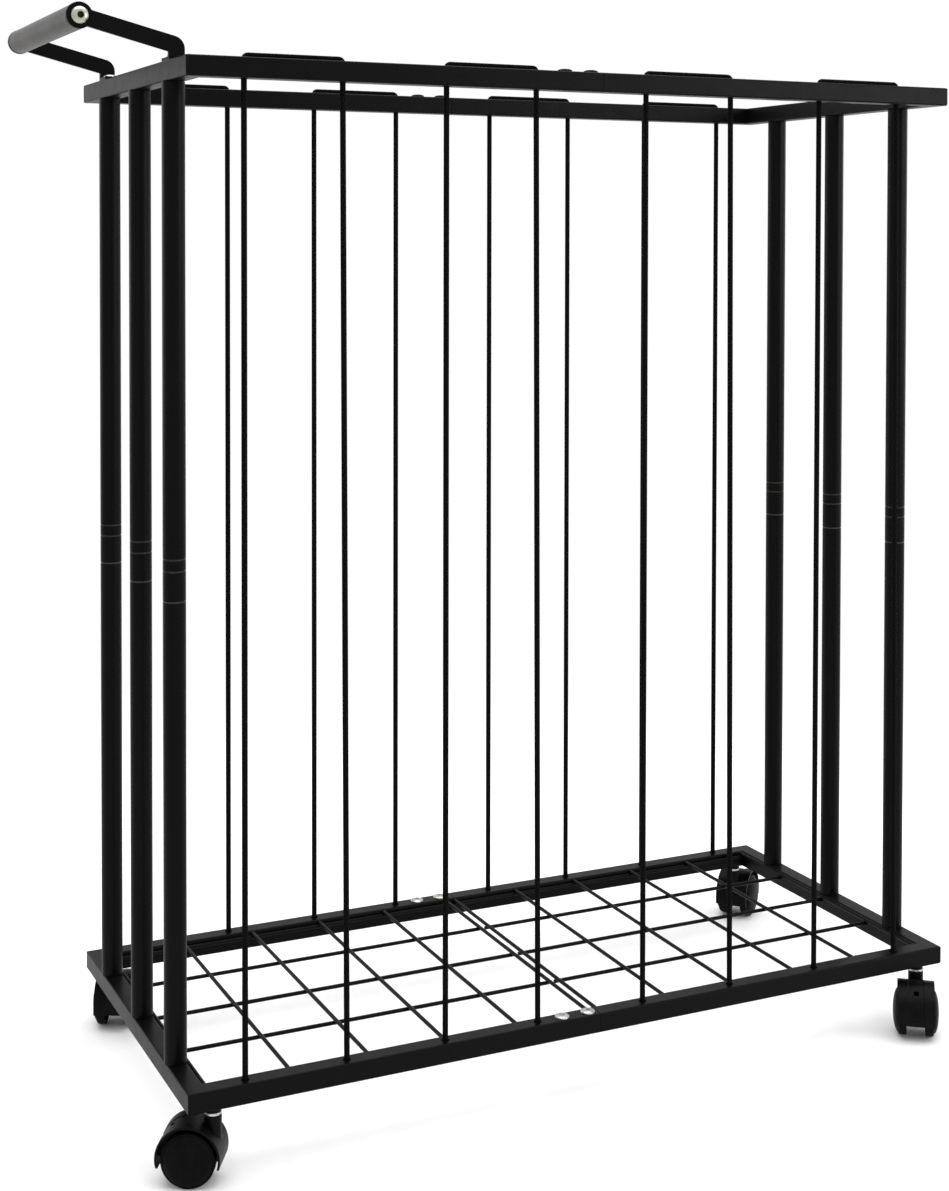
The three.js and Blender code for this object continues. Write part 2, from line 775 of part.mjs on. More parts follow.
function addCaster(corner, heading) {
  const [row, side] = corner.split('_');
  const caster = new THREE.Group();
  caster.position.set(casterColumn(side), sideRows[row], 0);
  cart.add(caster);
  addPiece(caster, `caster_${corner}_stem`, makeStem(), brightSteel);

  const swivel = new THREE.Group();
  swivel.rotation.z = THREE.MathUtils.degToRad(heading);
  caster.add(swivel);
  addPiece(swivel, `caster_${corner}_hood`, makeHood(), blackPlastic);
  const axle = turned(
    [
      [0, -axleHalfLength],
      [axleDiameter / 2, -axleHalfLength],
      [axleDiameter / 2, axleHalfLength],
      [0, axleHalfLength],
    ],
    rodSides,
  );
  const pin = addPiece(swivel, `caster_${corner}_axle`, axle, brightSteel);
  pin.position.set(wheelTrail, 0, wheelRadius);
  pin.rotation.x = Math.PI / 2;
  for (const [name, way] of [['wheel_a', -1], ['wheel_b', 1]]) {
    const wheel = addPiece(swivel, `caster_${corner}_${name}`, makeWheel(), blackPlastic);
    wheel.position.set(wheelTrail, way * wheelInnerFace, wheelRadius);
    wheel.rotation.x = (-way * Math.PI) / 2;
  }
}

addFrames();
addPiece(cart, 'floor_grid_left', makeFloorGrid('left'), blackPaint);
addPiece(cart, 'floor_grid_right', makeFloorGrid('right'), blackPaint);
addPosts();
addCords();
addHandle();
for (const [corner, heading] of Object.entries(casterHeadings)) addCaster(corner, heading);

// The origin is the middle of the footprint, on the floor.
cart.updateMatrixWorld(true);
const reach = new THREE.Box3().setFromObject(cart, true);
cart.position.set(-(reach.min.x + reach.max.x) / 2, -(reach.min.y + reach.max.y) / 2, 0);
cart.updateMatrixWorld(true);

export default cart;
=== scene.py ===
import math

import bpy
from mathutils import Matrix, Vector


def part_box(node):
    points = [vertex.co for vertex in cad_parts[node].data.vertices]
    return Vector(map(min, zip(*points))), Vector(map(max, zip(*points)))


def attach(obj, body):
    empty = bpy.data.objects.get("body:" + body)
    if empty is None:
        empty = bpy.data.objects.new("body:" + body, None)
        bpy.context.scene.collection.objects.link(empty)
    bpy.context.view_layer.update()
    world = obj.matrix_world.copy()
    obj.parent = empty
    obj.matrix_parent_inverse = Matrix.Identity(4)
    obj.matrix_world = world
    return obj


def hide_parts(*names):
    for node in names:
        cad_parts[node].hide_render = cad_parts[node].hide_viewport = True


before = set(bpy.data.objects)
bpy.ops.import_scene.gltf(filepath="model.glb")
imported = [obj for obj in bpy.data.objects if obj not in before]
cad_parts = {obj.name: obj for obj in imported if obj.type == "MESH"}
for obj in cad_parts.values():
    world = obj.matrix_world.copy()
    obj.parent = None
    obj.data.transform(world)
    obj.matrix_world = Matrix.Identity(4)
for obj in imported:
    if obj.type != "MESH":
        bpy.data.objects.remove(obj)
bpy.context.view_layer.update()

print("frame loaded")

mm = 0.001
sameSpot = 0.01 * mm  # two places closer than this are one
overrun = 1 * mm  # how far a cutter passes the face that it cuts
up, down = (0, 0, 1), (0, 0, -1)
scene = bpy.context.scene


# small helpers for working by hand on one piece

def useOnly(piece):
    bpy.ops.object.select_all(action='DESELECT')
    piece.select_set(True)
    bpy.context.view_layer.objects.active = piece


def nameNew(name):
    piece = bpy.context.object
    piece.name = name
    piece.data.name = name
    return piece


def pick(piece, kind, test):
    # leaves the piece in edit mode with what passes the test selected
    useOnly(piece)
    bpy.ops.object.mode_set(mode='EDIT')
    bpy.ops.mesh.select_mode(type=kind)
    bpy.ops.mesh.select_all(action='DESELECT')
    bpy.ops.object.mode_set(mode='OBJECT')
    mesh = piece.data
    if kind == 'FACE':
        for face in mesh.polygons:
            face.select = test(face.center, face.normal)
    if kind == 'EDGE':
        for edge in mesh.edges:
            a, b = (mesh.vertices[i].co for i in edge.vertices)
            edge.select = test((a + b) / 2, (b - a).normalized())
    if kind == 'VERT':
        for point in mesh.vertices:
            point.select = test(point.co, point.normal)
    bpy.ops.object.mode_set(mode='EDIT')


def pickPoint(piece, point):
    pick(piece, 'VERT', lambda co, normal: (co - Vector(point)).length < 5 * sameSpot)


def pickFacing(piece, *ways):
    # the faces that look one of these ways
    pick(piece, 'FACE', lambda centre, normal: any(normal.dot(Vector(way)) > 0.9 for way in ways))


def editAll(piece):
    useOnly(piece)
    bpy.ops.object.mode_set(mode='EDIT')
    bpy.ops.mesh.select_all(action='SELECT')


def leaveEdit():
    bpy.ops.object.mode_set(mode='OBJECT')


def sliceAt(point, normal, **options):
    bpy.ops.mesh.select_all(action='SELECT')
    bpy.ops.mesh.bisect(plane_co=point, plane_no=normal, **options)


def extrude(x=0, y=0, z=0):
    bpy.ops.mesh.extrude_region_move(TRANSFORM_OT_translate={"value": (x, y, z)})


def widen(share, centre, axis='Z'):
    # what is selected grows or shrinks across the axis only
    value = [share] * 3
    value['XYZ'.index(axis)] = 1
    bpy.ops.transform.resize(value=value, center_override=centre)


def bakePlace(piece):
    useOnly(piece)
    bpy.ops.object.transform_apply(location=True, rotation=True, scale=True)


def addCylinder(name, radius, low, high, centre, axis='Z', sides=48):
    turn = {'X': (0, math.pi / 2, 0), 'Y': (math.pi / 2, 0, 0), 'Z': (0, 0, 0)}[axis]
    place = Vector(centre)
    place['XYZ'.index(axis)] = (low + high) / 2
    bpy.ops.object.select_all(action='DESELECT')
    bpy.ops.mesh.primitive_cylinder_add(
        vertices=sides, radius=radius, depth=high - low, location=place, rotation=turn)
    piece = nameNew(name)
    bakePlace(piece)
    return piece


def addBlock(name, low, high):
    low, high = Vector(low), Vector(high)
    bpy.ops.object.select_all(action='DESELECT')
    bpy.ops.mesh.primitive_cube_add(size=1, location=(low + high) / 2)
    piece = nameNew(name)
    piece.scale = high - low
    bakePlace(piece)
    return piece


def joinAll(pieces, name):
    bpy.ops.object.select_all(action='DESELECT')
    for piece in pieces:
        piece.select_set(True)
    bpy.context.view_layer.objects.active = pieces[0]
    if len(pieces) > 1:
        bpy.ops.object.join()
    return nameNew(name)


def applyModifier(piece, kind, **values):
    useOnly(piece)
    bpy.ops.object.modifier_add(type=kind)
    modifier = piece.modifiers[-1]
    for name, value in values.items():
        setattr(modifier, name, value)
    bpy.ops.object.modifier_apply(modifier=modifier.name)


def combine(piece, tool, operation):
    applyModifier(piece, 'BOOLEAN', object=tool, operation=operation, solver='EXACT')
    bpy.data.objects.remove(tool)


def softenEdges(piece, width, segments=3, angle=30):
    applyModifier(piece, 'BEVEL', width=width, segments=segments, limit_method='ANGLE',
                  angle_limit=math.radians(angle))


def smoothFaces(piece, angle=40):
    # flat faces stay flat and only the rounded edges shade smoothly
    useOnly(piece)
    bpy.ops.object.shade_smooth_by_angle(angle=math.radians(angle))
    applyModifier(piece, 'WEIGHTED_NORMAL', keep_sharp=True)


def faceOutwards(piece):
    editAll(piece)
    bpy.ops.mesh.remove_doubles(threshold=sameSpot / 10)
    bpy.ops.mesh.normals_make_consistent(inside=False)
    leaveEdit()


def hollowThrough(piece, wall, *ways):
    # the two ends are inset by the wall and joined to each other
    pickFacing(piece, *ways)
    bpy.ops.mesh.inset(thickness=wall, use_individual=True)
    bpy.ops.mesh.bridge_edge_loops()
    leaveEdit()


def copyTo(piece, name, move=(0, 0, 0), turn=0):
    # a copy with its own mesh, turned round the Z axis of the scene and then moved
    useOnly(piece)
    bpy.ops.object.duplicate()
    copy = nameNew(name)
    copy.location = move
    copy.rotation_euler = (0, 0, turn)
    bakePlace(copy)
    return copy


def middleOf(node):
    low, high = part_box(node)
    return (low + high) / 2


def finishPiece(piece, material, body, *nodes, slot=None):
    piece.data.materials.clear()
    piece.data.materials.append(material)
    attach(piece, body)
    if nodes:
        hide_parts(*nodes)


# finishes

def newFinish(name, colour, roughness, metallic=0.0, specular=0.5):
    finish = bpy.data.materials.new(name)
    finish.use_nodes = True
    shader = finish.node_tree.nodes["Principled BSDF"]
    shader.inputs["Base Color"].default_value = (*colour, 1)
    shader.inputs["Roughness"].default_value = roughness
    shader.inputs["Metallic"].default_value = metallic
    shader.inputs["Specular IOR Level"].default_value = specular
    return finish, finish.node_tree, shader


def addNode(tree, kind, **values):
    node = tree.nodes.new(kind)
    for name, value in values.items():
        if name in node.inputs:
            node.inputs[name].default_value = value
        else:
            setattr(node, name, value)
    return node


def feed(tree, value, socket):
    # a number or a colour is written on the socket, and another socket is linked to it
    if isinstance(value, (int, float, tuple)):
        socket.default_value = value
    else:
        tree.links.new(value, socket)


def calculate(tree, operation, *values):
    node = addNode(tree, "ShaderNodeMath", operation=operation)
    for value, socket in zip(values, node.inputs):
        feed(tree, value, socket)
    return node.outputs[0]


def mapRange(tree, value, before=(0, 1), after=(0, 1), interpolation='LINEAR'):
    spread = addNode(tree, "ShaderNodeMapRange", interpolation_type=interpolation)
    for name, number in zip(("From Min", "From Max", "To Min", "To Max"), before + after):
        spread.inputs[name].default_value = number
    tree.links.new(value, spread.inputs["Value"])
    return spread.outputs["Result"]


def objectPlace(tree):
    return addNode(tree, "ShaderNodeTexCoord").outputs["Object"]


def objectNoise(tree, scale, detail=2.0, stretch=(1, 1, 1)):
    mapping = addNode(tree, "ShaderNodeMapping", Scale=stretch)
    noise = addNode(tree, "ShaderNodeTexNoise", Scale=scale, Detail=detail)
    tree.links.new(objectPlace(tree), mapping.inputs["Vector"])
    tree.links.new(mapping.outputs["Vector"], noise.inputs["Vector"])
    return noise.outputs["Fac"]


def colourRamp(tree, driver, dark, light, positions=(0.35, 0.65)):
    ramp = addNode(tree, "ShaderNodeValToRGB")
    for element, colour, position in zip(ramp.color_ramp.elements, (dark, light), positions):
        element.color = (*colour, 1)
        element.position = position
    tree.links.new(driver, ramp.inputs["Fac"])
    return ramp.outputs["Color"]


def blendBase(tree, shader, factor, under, over):
    blend = addNode(tree, "ShaderNodeMix", data_type='RGBA')
    for value, socket in ((factor, "Factor"), (under, 6), (over, 7)):
        feed(tree, value, blend.inputs[socket])
    tree.links.new(blend.outputs[2], shader.inputs["Base Color"])


def addBump(tree, shader, driver, strength, distance):
    bump = addNode(tree, "ShaderNodeBump", Strength=strength, Distance=distance)
    tree.links.new(driver, bump.inputs["Height"])
    tree.links.new(bump.outputs["Normal"], shader.inputs["Normal"])


# each noise is its scale, its detail and how it is stretched, and the bump its strength and depth
looks = {
    "satinPowderCoat": {"dark": (0.0014, 0.0013, 0.0012), "light": (0.0028, 0.0026, 0.0024),
                        "fine": (1500, 3), "broad": (60, 4), "colourBy": "fine",
                        "roughnessBy": "broad", "roughness": (0.32, 0.44),
                        "specular": 0.062, "bump": (0.35, 0.12 * mm)},
    "hoodPlastic": {"dark": (0.0013, 0.0013, 0.0013), "light": (0.0026, 0.0026, 0.0026),
                    "fine": (2600, 2), "broad": (90, 3), "colourBy": "broad",
                    "roughnessBy": "broad", "roughness": (0.34, 0.46),
                    "specular": 0.06, "bump": (0.3, 0.08 * mm)},
    "wheelPlastic": {"dark": (0.0013, 0.0013, 0.0013), "light": (0.003, 0.003, 0.0028),
                     "fine": (1800, 3), "broad": (220, 5, (1, 1, 0.3)), "colourBy": "broad",
                     "roughnessBy": "broad", "roughness": (0.42, 0.58),
                     "specular": 0.045, "bump": (0.25, 0.08 * mm)},
    "zincPlate": {"dark": (0.34, 0.335, 0.315), "light": (0.5, 0.495, 0.47),
                  "fine": (700, 3, (1, 1, 0.25)), "broad": (160, 3), "colourBy": "broad",
                  "roughnessBy": "fine", "roughness": (0.2, 0.38),
                  "metallic": 1, "bump": (0.12, 0.05 * mm)},
    # the screws of the top rails get a much darker zinc than those of the bottom rails
    "darkTopZinc": {"dark": (0.006, 0.0055, 0.005), "light": (0.014, 0.013, 0.0115),
                      "fine": (420, 4), "colourBy": "fine",
                      "roughnessBy": "fine", "roughness": (0.42, 0.6),
                      "metallic": 0.2, "specular": 0.03, "bump": (0.15, 0.05 * mm)},
    "satinGrip": {"dark": (0.044, 0.0424, 0.04), "light": (0.06, 0.0577, 0.0545),
                  "fine": (900, 2, (1, 0.12, 1)), "broad": (45, 4), "colourBy": "broad",
                  "roughnessBy": "fine", "roughness": (0.24, 0.36),
                  "metallic": 0.2, "specular": 0.02, "bump": (0.15, 0.04 * mm)},
}


def makeFinish(name, look):
    finish, tree, shader = newFinish(name, look["light"], look["roughness"][1],
                                     look.get("metallic", 0), look.get("specular", 0.5))
    noises = {key: objectNoise(tree, *look[key]) for key in ("fine", "broad") if key in look}
    colour = colourRamp(tree, noises[look["colourBy"]], look["dark"], look["light"])
    tree.links.new(colour, shader.inputs["Base Color"])
    roughness = mapRange(tree, noises[look["roughnessBy"]], after=look["roughness"])
    tree.links.new(roughness, shader.inputs["Roughness"])
    if "bump" in look:
        addBump(tree, shader, noises["fine"], *look["bump"])
    return finish, tree, shader


def heightBand(tree, height, halfWidth):
    # 1 at one height above the floor, fading to 0 at half a band's width from it
    split = addNode(tree, "ShaderNodeSeparateXYZ")
    tree.links.new(objectPlace(tree), split.inputs["Vector"])
    away = calculate(tree, 'ABSOLUTE', calculate(tree, 'SUBTRACT', split.outputs["Z"], height))
    return mapRange(tree, away, (0, halfWidth), (1, 0))


# lighter rings painted on the post coat at the joints stand in for the highlights on their edges
paintedHighlightRing = {"dark": (0.02, 0.02, 0.019), "light": (0.1, 0.098, 0.094), "noise": (240, 3),
              "halfWidth": 0.9 * mm}


def makePostCoat(heights):
    # the same coat, with highlight rings painted in a lighter colour where one tube slides in the next
    finish, tree, shader = makeFinish("highlightRingCoat", looks["satinPowderCoat"])
    highlightMask = 0
    for height in heights:
        band = heightBand(tree, height, paintedHighlightRing["halfWidth"])
        highlightMask = calculate(tree, 'MAXIMUM', highlightMask, band)
    highlightColour = colourRamp(tree, objectNoise(tree, *paintedHighlightRing["noise"]), paintedHighlightRing["dark"],
                      paintedHighlightRing["light"], (0, 1))
    painted = shader.inputs["Base Color"].links[0].from_socket
    blendBase(tree, shader, highlightMask, painted, highlightColour)
    return finish


elasticSleeve = {"strands": 10, "plaitsPerMetre": 260, "dark": (0.001, 0.001, 0.001),
                 "light": (0.004, 0.0038, 0.0036), "bump": (0.35, 0.15 * mm)}


def makeElasticSleeve():
    # two families of strands wind round the cord in opposite directions on its own UV map
    finish, tree, shader = newFinish("elasticSleeve", elasticSleeve["light"], 0.8, specular=0.035)
    uv = addNode(tree, "ShaderNodeUVMap", uv_map="sleeve")
    split = addNode(tree, "ShaderNodeSeparateXYZ")
    tree.links.new(uv.outputs["UV"], split.inputs["Vector"])
    along = calculate(tree, 'MULTIPLY', split.outputs["Y"], elasticSleeve["plaitsPerMetre"] * math.pi)
    waves = []
    for strands in (elasticSleeve["strands"], -elasticSleeve["strands"]):
        across = calculate(tree, 'MULTIPLY', split.outputs["X"], strands * math.pi)
        waves.append(calculate(tree, 'SINE', calculate(tree, 'ADD', across, along)))
    height = mapRange(tree, calculate(tree, 'MAXIMUM', *waves), (-1, 1))
    colour = colourRamp(tree, height, elasticSleeve["dark"], elasticSleeve["light"])
    tree.links.new(colour, shader.inputs["Base Color"])
    addBump(tree, shader, height, *elasticSleeve["bump"])
    return finish


# socket is the dark colour painted into the bolt's hex socket, for the shade in its recess together
# with old grease
boltSteel = {"dark": (0.36, 0.34, 0.28), "light": (0.5, 0.475, 0.4), "fine": (700, 3, (1, 0.25, 1)),
             "colourBy": "fine", "roughnessBy": "fine", "roughness": (0.22, 0.4), "metallic": 0.9,
             "socket": (0.02, 0.015, 0.009), "socketFade": 0.3 * mm}


def makeBoltSteel(middle, radius):
    # nickelled steel on a bolt that lies along Y, its socket painted dark for the shade in the recess
    # together with old grease
    finish, tree, shader = makeFinish("boltSteel", boltSteel)
    centred = addNode(tree, "ShaderNodeMapping", Location=(-middle.x, 0, -middle.z))
    flat = addNode(tree, "ShaderNodeVectorMath", operation='MULTIPLY')
    flat.inputs[1].default_value = (1, 0, 1)
    away = addNode(tree, "ShaderNodeVectorMath", operation='LENGTH')
    tree.links.new(objectPlace(tree), centred.inputs["Vector"])
    tree.links.new(centred.outputs["Vector"], flat.inputs[0])
    tree.links.new(flat.outputs["Vector"], away.inputs[0])
    outside = mapRange(tree, away.outputs["Value"], (radius, radius + boltSteel["socketFade"]))
    steel = shader.inputs["Base Color"].links[0].from_socket
    blendBase(tree, shader, outside, (*boltSteel["socket"], 1), steel)
    return finish


satinPowderCoat, hoodPlastic, wheelPlastic, zincPlate, darkTopZinc, satinGripFinish = (
    makeFinish(name, look)[0] for name, look in looks.items())
elasticSleeveFinish = makeElasticSleeve()
print("finishes made")


# camera: the photograph's own viewing angle, for a frame of 949 by 1191

photoFrame = {"height": 1191, "focalPixels": 1876.4, "horizonRow": 287, "sensor": 36,
              "near": 0.05, "far": 60}
cameraPlace = {"location": (-0.85949, -1.78929, 0.84649),
               "yaw": -25.239, "pitch": -1.419, "roll": -0.097}


def addCamera():
    data = bpy.data.cameras.new("photoCamera")
    camera = bpy.data.objects.new("photoCamera", data)
    scene.collection.objects.link(camera)
    data.sensor_width = photoFrame["sensor"]
    data.lens = photoFrame["focalPixels"] * photoFrame["sensor"] / photoFrame["height"]
    data.shift_y = (photoFrame["horizonRow"] - photoFrame["height"] / 2) / photoFrame["height"]
    data.dof.use_dof = False
    data.clip_start = photoFrame["near"]
    data.clip_end = photoFrame["far"]
    yaw, pitch, roll = (math.radians(cameraPlace[k]) for k in ("yaw", "pitch", "roll"))
    turn = (Matrix.Rotation(yaw, 4, 'Z') @ Matrix.Rotation(pitch, 4, 'X')
            @ Matrix.Rotation(roll, 4, 'Y') @ Matrix.Rotation(math.pi / 2, 4, 'X'))
    camera.matrix_world = Matrix.Translation(cameraPlace["location"]) @ turn
    scene.camera = camera


addCamera()


# frame halves: U-shaped square tube with mitred corners

railForm = {"size": 19 * mm, "wall": 1.2 * mm, "cornerRadius": 1.8 * mm, "cornerSteps": 4,
            "seamGap": 0.4 * mm, "cordHole": 4 * mm, "screwHole": 3.3 * mm, "stemHole": 4.3 * mm,
            "sleeveSize": 16 * mm, "sleeveWall": 1.5 * mm, "sleeveReach": 40 * mm,
            "holeOverrun": 2 * mm, "holeDepth": 3 * mm}
cordStopRadius = 5 * mm
loopDraw = {"front": 4.2 * mm, "back": 0}  # how much narrower a loop of cord is at the top rail
sides = ("left", "right")
rows = ("front", "back")
corners = [(row, side) for row in rows for side in sides]


def railRow(row):
    low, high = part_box("bottom_frame_left")
    return low.y + railForm["size"] / 2 if row == "front" else high.y - railForm["size"] / 2


def cordColumns(node):
    low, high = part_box(node)
    return low.x + cordStopRadius, high.x - cordStopRadius


def makeHoleCutters(level, side, base, top):
    # a cord's hole goes through both walls of a top rail, and every other hole through one wall
    past, depth = railForm["holeOverrun"], railForm["holeDepth"]
    cordFoot, drawn = (base - past, loopDraw) if level == "top" else (top - depth, {})
    cutters = []

    def addHole(kind, x, row, low, high, edges=24):
        cutters.append(addCylinder("cutter", railForm[kind], low, high, (x, railRow(row), 0),
                                   sides=edges))

    for row in rows:
        for number in (1, 2) if side == "left" else (3, 4):
            leftX, rightX = cordColumns(f"cord_{row}_{number}")
            for x in (leftX, rightX - drawn.get(row, 0)):
                addHole("cordHole", x, row, cordFoot, top + past, 32)
        if side == "left":
            for number in (1, 2):
                x = middleOf(f"joint_screw_{level}_{row}_{number}").x
                addHole("screwHole", x, row, top - depth, top + past)
        if level == "bottom":
            x = middleOf(f"caster_{row}_{side}_stem").x
            addHole("stemHole", x, row, base - past, base + depth)
    return joinAll(cutters, "cutters")


def makeFrameHalf(level, side):
    node = f"{level}_frame_{side}"
    size = railForm["size"]
    low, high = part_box(node)
    inward = 1 if side == "left" else -1
    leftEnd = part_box(f"{level}_frame_left")[1].x
    seamX = leftEnd if side == "left" else leftEnd + railForm["seamGap"]
    outerX = low.x if side == "left" else high.x
    farX = seamX + inward * 2 * size
    bpy.ops.object.select_all(action='DESELECT')
    bpy.ops.mesh.primitive_plane_add(
        size=1, location=((outerX + farX) / 2, (low.y + high.y) / 2, low.z))
    half = nameNew(node + "_tube")
    half.scale = (abs(farX - outerX), high.y - low.y, 1)
    bakePlace(half)

    editAll(half)
    bpy.ops.mesh.inset(thickness=size, depth=0)
    bpy.ops.mesh.delete(type='FACE')
    sliceAt((seamX, 0, 0), (inward, 0, 0), clear_outer=True)
    bpy.ops.mesh.select_all(action='SELECT')
    extrude(z=size)
    leaveEdit()
    faceOutwards(half)

    def alongTube(middle, direction):
        flat = abs(direction.z) < 0.1
        mitre = abs(direction.x) > 0.1 and abs(direction.y) > 0.1
        cutEnd = abs(middle.x - seamX) < sameSpot
        return flat and not mitre and not cutEnd

    pick(half, 'EDGE', alongTube)
    bpy.ops.mesh.bevel(offset=railForm["cornerRadius"], segments=railForm["cornerSteps"],
                       affect='EDGES')
    leaveEdit()
    applyModifier(half, 'SOLIDIFY', thickness=railForm["wall"], offset=-1)
    combine(half, makeHoleCutters(level, side, low.z, high.z), 'DIFFERENCE')
    if side == "right":
        half = addSleeves(half, low, high)
    smoothFaces(half)
    finishPiece(half, satinPowderCoat, "frame", node, slot="black_paint")


def addSleeves(half, low, high):
    # the tongues that slide into the left half
    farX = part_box("bottom_frame_left")[1].x + railForm["sleeveReach"]
    side = railForm["sleeveSize"] / 2
    middleZ = (low.z + high.z) / 2
    parts = [half]
    for row in rows:
        y = railRow(row)
        sleeve = addBlock("sleeve", (low.x, y - side, middleZ - side),
                          (farX, y + side, middleZ + side))
        hollowThrough(sleeve, railForm["sleeveWall"], (1, 0, 0), (-1, 0, 0))
        parts.append(sleeve)
    return joinAll(parts, half.name)


for level in ("bottom", "top"):
    for side in sides:
        makeFrameHalf(level, side)
print("frame halves made")


# end posts: a lower length with crimp ring, collar and spigot, and an upper length over it

postForm = {"radius": 10.65 * mm, "wall": 1.2 * mm, "grooveDepth": 0.6 * mm, "grooveHeight": 0.6 * mm,
            "crimpDrop": 28 * mm, "crimpDepth": 0.35 * mm, "crimpHeight": 0.9 * mm,
            "collarHeight": 11 * mm, "spigotGap": 0.3 * mm, "boreRoom": 1 * mm, "sides": 64}


def ringHeights():
    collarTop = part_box("post_front_left_upper")[0].z
    collarFoot = collarTop - postForm["collarHeight"]
    return collarTop, collarFoot, collarFoot - postForm["crimpDrop"]


def cutRings(piece, heights):
    editAll(piece)
    for height in heights:
        sliceAt((0, 0, height), up)
    leaveEdit()


def pinchRing(piece, height, depth):
    pick(piece, 'VERT', lambda co, normal: abs(co.z - height) < sameSpot)
    widen(1 - depth / postForm["radius"], (0, 0, height))
    leaveEdit()


def makeLowerPost():
    low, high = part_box("post_front_left_lower")
    collarTop, collarFoot, crimp = ringHeights()
    groove, rise, swell = (postForm[k] for k in ("grooveDepth", "grooveHeight", "crimpHeight"))
    post = addCylinder("lowerPostPattern", postForm["radius"], low.z, collarTop, (0, 0, 0),
                       sides=postForm["sides"])
    cutRings(post, (crimp - swell, crimp, crimp + swell,
                    collarFoot - rise, collarFoot, collarFoot + rise, collarTop - rise))
    pinchRing(post, crimp, postForm["crimpDepth"])
    pinchRing(post, collarFoot, groove)
    pinchRing(post, collarTop, groove)
    pickFacing(post, up)
    bpy.ops.mesh.inset(thickness=postForm["wall"] - groove + postForm["spigotGap"])
    extrude(z=high.z - collarTop)
    leaveEdit()
    smoothFaces(post, 30)
    return post


def makeUpperPost():
    low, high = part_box("post_front_left_upper")
    groove = postForm["grooveDepth"]
    post = addCylinder("upperPostPattern", postForm["radius"], low.z, high.z, (0, 0, 0),
                       sides=postForm["sides"])
    cutRings(post, (low.z + postForm["grooveHeight"],))
    pinchRing(post, low.z, groove)
    pickFacing(post, down)
    bpy.ops.mesh.inset(thickness=postForm["wall"] - groove)
    extrude(z=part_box("post_front_left_lower")[1].z - low.z + postForm["boreRoom"])
    leaveEdit()
    smoothFaces(post, 30)
    return post


lowerPattern, upperPattern = makeLowerPost(), makeUpperPost()
highlightRingCoat = makePostCoat(ringHeights())
for side in sides:
    for row in ("front", "middle", "back"):
        node = f"post_{row}_{side}"
        place = middleOf(node + "_lower")
        for pattern, part in ((lowerPattern, "lower"), (upperPattern, "upper")):
            post = copyTo(pattern, f"{node}_{part}_tube", (place.x, place.y, 0))
            finishPiece(post, highlightRingCoat, "frame", f"{node}_{part}", slot="black_paint")
for pattern in (lowerPattern, upperPattern):
    bpy.data.objects.remove(pattern)
print("posts made")


# elastic cords, from the stop in one hole over the top rail to the stop in the next

cordForm = {"radius": 2.75 * mm, "pressed": 2.2 * mm, "bend": 4.2 * mm, "bendSteps": 8,
            "stopHeight": 5 * mm, "sides": 20}


def makeCord(node, row):
    low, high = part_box(node)
    leftX, rightX = cordColumns(node)
    headX = rightX - loopDraw[row]
    y = (low.y + high.y) / 2
    radius, bend = cordForm["radius"], cordForm["bend"]
    crest = high.z - cordForm["pressed"]
    bendZ = crest - bend
    stopTop = low.z + cordForm["stopHeight"]
    cord = addCylinder(node + "_sleeve", cordStopRadius, low.z, stopTop, (leftX, y, 0),
                       sides=cordForm["sides"])
    pickFacing(cord, up)
    bpy.ops.mesh.inset(thickness=cordStopRadius - radius)
    extrude(z=bendZ - stopTop)
    for centreX in (leftX + bend, headX - bend):
        bpy.ops.mesh.spin(steps=cordForm["bendSteps"], angle=-math.pi / 2,
                          center=(centreX, y, bendZ), axis=(0, 1, 0))
        if centreX < headX - bend:
            extrude(x=headX - leftX - 2 * bend)
    extrude(x=rightX - headX, z=stopTop - bendZ)
    extrude()
    widen(cordStopRadius / radius, (rightX, y, stopTop))
    extrude(z=low.z - stopTop)
    leaveEdit()
    faceOutwards(cord)
    ends = {"left": leftX, "head": headX, "right": rightX, "bendZ": bendZ, "stopTop": stopTop}
    mapSleeve(cord, ends, y)
    pressOverRail(cord, ends)
    useOnly(cord)
    bpy.ops.object.shade_smooth_by_angle(angle=math.radians(45))
    return cord


def cordStation(co, ends):
    # how far a point lies outwards from the cord's middle line, how far along it, and its turn
    bend, rise = cordForm["bend"], co.z - ends["bendZ"]
    onLeft = co.x < (ends["left"] + ends["head"]) / 2
    across = ends["left"] + bend - co.x if onLeft else co.x - ends["head"] + bend
    if rise > 0 and across < 0:
        out, along, turn = rise - bend, bend * math.pi / 2 - across, math.pi / 2
    elif rise > 0:
        turn = math.atan2(rise, across)
        out, along = math.hypot(rise, across) - bend, bend * turn
    else:
        lean = 0 if onLeft else ends["right"] - ends["head"]
        drop = min(-rise / (ends["bendZ"] - ends["stopTop"]), 1)
        out, along, turn = across - bend - lean * drop, rise, 0
    return out, along, turn


def pressOverRail(cord, ends):
    # the round cord is thinner where it lies on the rail
    bend, flatter = cordForm["bend"], 1 - cordForm["pressed"] / cordForm["radius"]
    for point in cord.data.vertices:
        out, along, turn = cordStation(point.co, ends)
        inset = out * flatter * turn / (math.pi / 2)
        onLeft = point.co.x < (ends["left"] + ends["head"]) / 2
        towardsX = math.cos(turn) if onLeft else -math.cos(turn)
        if turn > 0:
            point.co += Vector((towardsX * inset, 0, -math.sin(turn) * inset))


def mapSleeve(cord, ends, y):
    # u runs round the cord and v along it, in metres
    layer = cord.data.uv_layers.new(name="sleeve")
    for face in cord.data.polygons:
        turns, lengths = [], []
        for loop in face.loop_indices:
            co = cord.data.vertices[cord.data.loops[loop].vertex_index].co
            out, along, turn = cordStation(co, ends)
            turns.append(math.atan2(co.y - y, out) / (2 * math.pi))
            lengths.append(along)
        wraps = max(turns) - min(turns) > 0.5
        for loop, turn, along in zip(face.loop_indices, turns, lengths):
            layer.data[loop].uv = (turn + 1 if wraps and turn < 0 else turn, along)


for row in rows:
    for number in (1, 2, 3, 4):
        node = f"cord_{row}_{number}"
        finishPiece(makeCord(node, row), elasticSleeveFinish, "frame", node, slot="elastic_cord")
print("cords made")


# floor grids: cross wires on top, long wires welded under them

